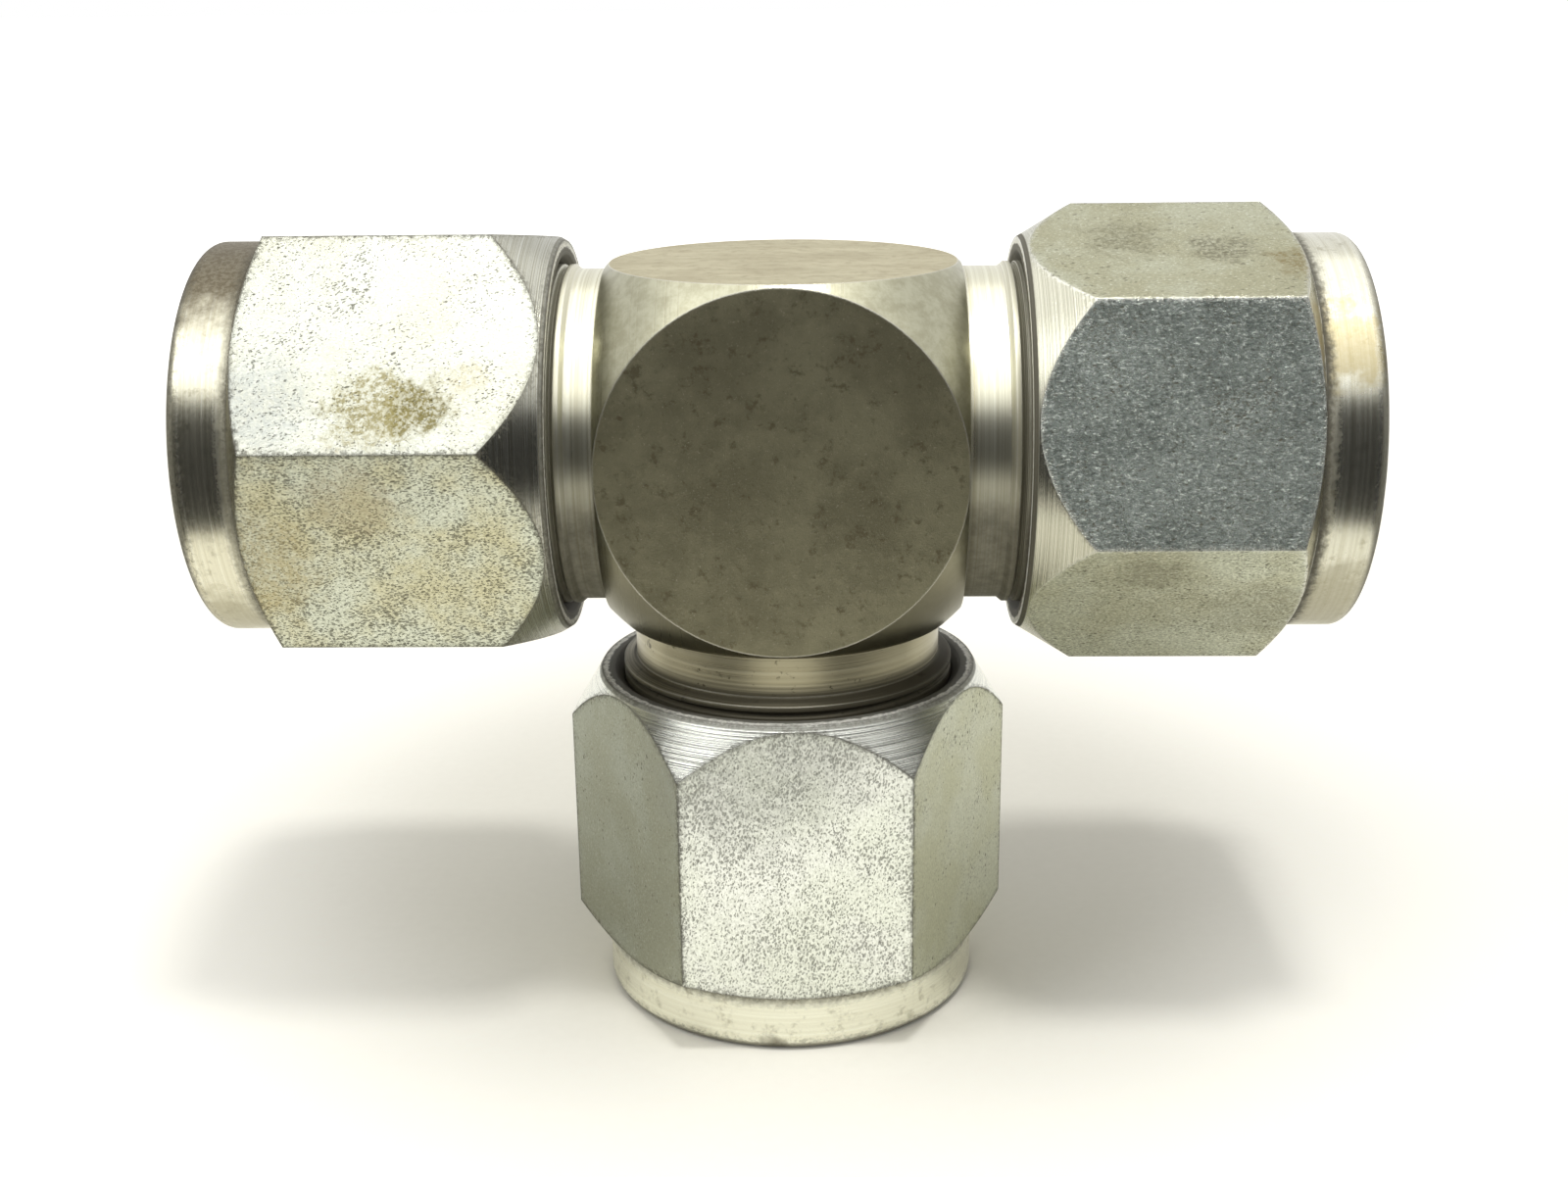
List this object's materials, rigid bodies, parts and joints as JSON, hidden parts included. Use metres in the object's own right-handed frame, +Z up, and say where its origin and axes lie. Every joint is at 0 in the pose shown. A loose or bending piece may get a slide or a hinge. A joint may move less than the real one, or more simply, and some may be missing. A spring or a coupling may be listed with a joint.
{
  "type": "union tee tube fitting",
  "caption": "Steel union tee for hydraulic tube, with a rounded block body and a hexagon compression nut over a bite sleeve and O-ring at each port.",
  "frame": {"origin": "on the branch axis, in the plane of the branch nut's outer face, which the fitting stands on; under the middle of the bounding box to within 0.7 mm, because the left nut is a little longer than the right one", "axes": "+X along the run towards the shorter nut, +Y to the back, +Z up; the branch points down, along -Z"},
  "size_m": [0.099, 0.04, 0.0719],
  "materials": {
    "tee_body": "zinc plated, dull and worn",
    "nut": "zinc plated, granular flats and turned ends",
    "sleeve": "turned and case hardened",
    "seal": "matte"
  },
  "bodies": {
    "tee": {"tee_body": "tee_body", "seal_left": "seal", "seal_right": "seal", "seal_branch": "seal"},
    "sleeve_left": {"sleeve_left": "sleeve"},
    "nut_left": {"nut_left": "nut"},
    "sleeve_right": {"sleeve_right": "sleeve"},
    "nut_right": {"nut_right": "nut"},
    "sleeve_branch": {"sleeve_branch": "sleeve"},
    "nut_branch": {"nut_branch": "nut"}
  },
  "joints": [
    {"name": "sleeve_left_slide", "type": "slide", "parent": "tee", "child": "sleeve_left", "axis": [-1, 0, 0], "range_m": [0, 0.01129]},
    {"name": "nut_left_turn", "type": "hinge", "parent": "sleeve_left", "child": "nut_left", "pos_m": [0, 0, 0.0523], "axis": [-1, 0, 0], "range_deg": [0, 2880]},
    {"name": "sleeve_right_slide", "type": "slide", "parent": "tee", "child": "sleeve_right", "axis": [1, 0, 0], "range_m": [0, 0.01129]},
    {"name": "nut_right_turn", "type": "hinge", "parent": "sleeve_right", "child": "nut_right", "pos_m": [0, 0, 0.0523], "axis": [1, 0, 0], "range_deg": [0, 2880]},
    {"name": "sleeve_branch_slide", "type": "slide", "parent": "tee", "child": "sleeve_branch", "axis": [0, 0, -1], "range_m": [0, 0.01129]},
    {"name": "nut_branch_turn", "type": "hinge", "parent": "sleeve_branch", "child": "nut_branch", "pos_m": [0, 0, 0], "axis": [0, 0, -1], "range_deg": [0, 2880]}
  ],
  "couplings": [
    {"joint": "sleeve_left_slide", "follows": "nut_left_turn", "m_per_rad": 0.00022457},
    {"joint": "sleeve_right_slide", "follows": "nut_right_turn", "m_per_rad": 0.00022457},
    {"joint": "sleeve_branch_slide", "follows": "nut_branch_turn", "m_per_rad": 0.00022457}
  ]
}
